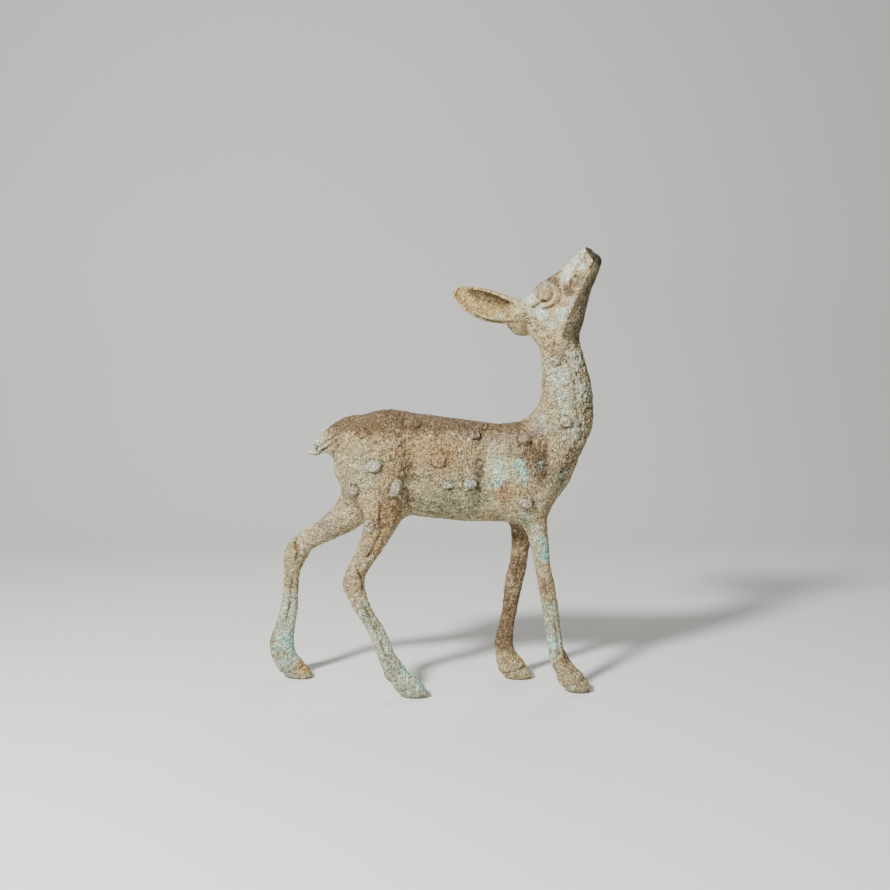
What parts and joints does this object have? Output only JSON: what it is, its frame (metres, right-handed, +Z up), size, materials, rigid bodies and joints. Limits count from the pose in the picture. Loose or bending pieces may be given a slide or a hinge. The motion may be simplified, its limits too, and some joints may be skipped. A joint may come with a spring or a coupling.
{
  "type": "statue",
  "caption": "Cast aluminium fawn with its muzzle raised and head turned, long ears laid back and slim walking legs, in a weathered beige and brown patina",
  "frame": {"origin": "on the ground, in the middle of the box around the statue", "axes": "+X the way the fawn faces, +Y its left side, +Z up"},
  "size_m": [0.4562, 0.1946, 0.6],
  "materials": {
    "patinated_aluminium": "sand cast, with a weathered beige and brown patina"
  },
  "bodies": {
    "root": {"deer": "patinated_aluminium"}
  },
  "joints": []
}
